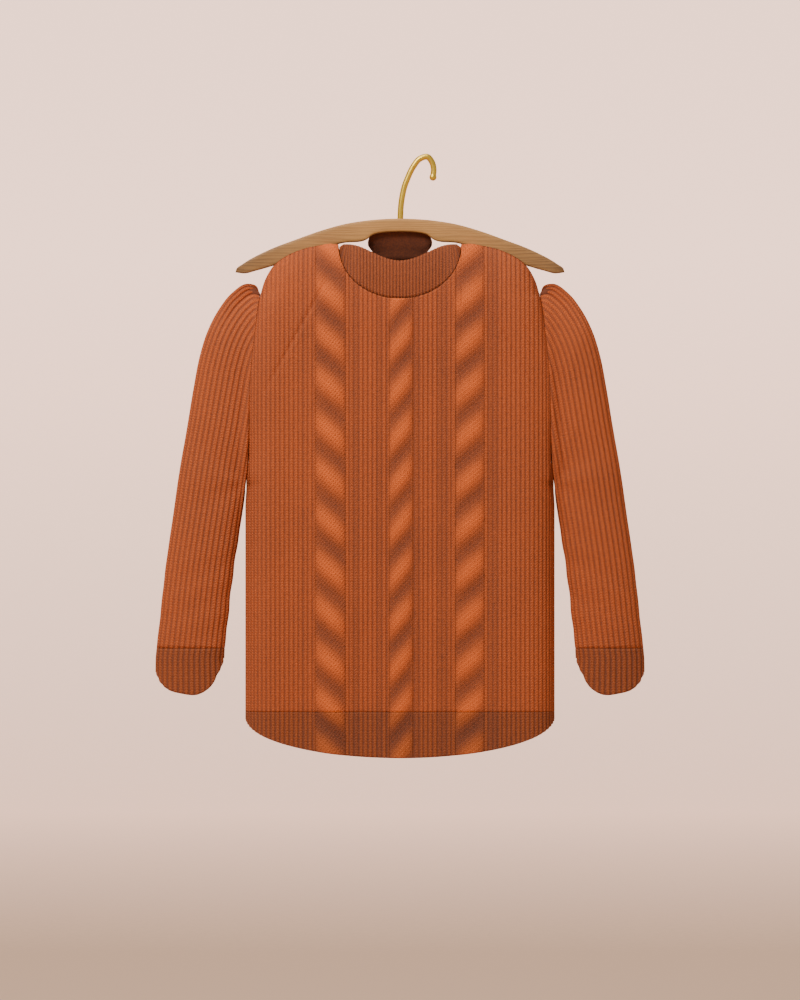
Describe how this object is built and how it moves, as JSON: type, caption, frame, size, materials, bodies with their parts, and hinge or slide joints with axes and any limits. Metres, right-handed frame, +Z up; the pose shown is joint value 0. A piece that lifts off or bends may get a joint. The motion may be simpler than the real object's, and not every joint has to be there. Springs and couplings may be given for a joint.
{
  "type": "fisherman sweater on wooden hanger",
  "caption": "Ribbed long-sleeved crew-neck sweater with cables down its front, hanging open and hollow on an arched wooden hanger with a bent wire hook.",
  "frame": {"origin": "inside top of the hook, where a rail carries it", "axes": "+Z up, the sweater's front faces -Y, +X to the viewer's right seen from the front"},
  "size_m": [0.6686, 0.0778, 0.8244],
  "materials": {
    "body_knit": "rust wool in fisherman rib, soft and matte",
    "rib_trim": "darker rust wool rib, matte",
    "hanger_wood": "oiled light hardwood",
    "hook_brass": "polished brass wire"
  },
  "bodies": {
    "root": {"body_front": "body_knit", "body_back": "body_knit", "hem_front": "rib_trim", "hem_back": "rib_trim", "sleeve_left": "body_knit", "sleeve_right": "body_knit", "cuff_left": "rib_trim", "cuff_right": "rib_trim", "neckband": "rib_trim", "hanger": "hanger_wood", "hook": "hook_brass"}
  },
  "joints": []
}
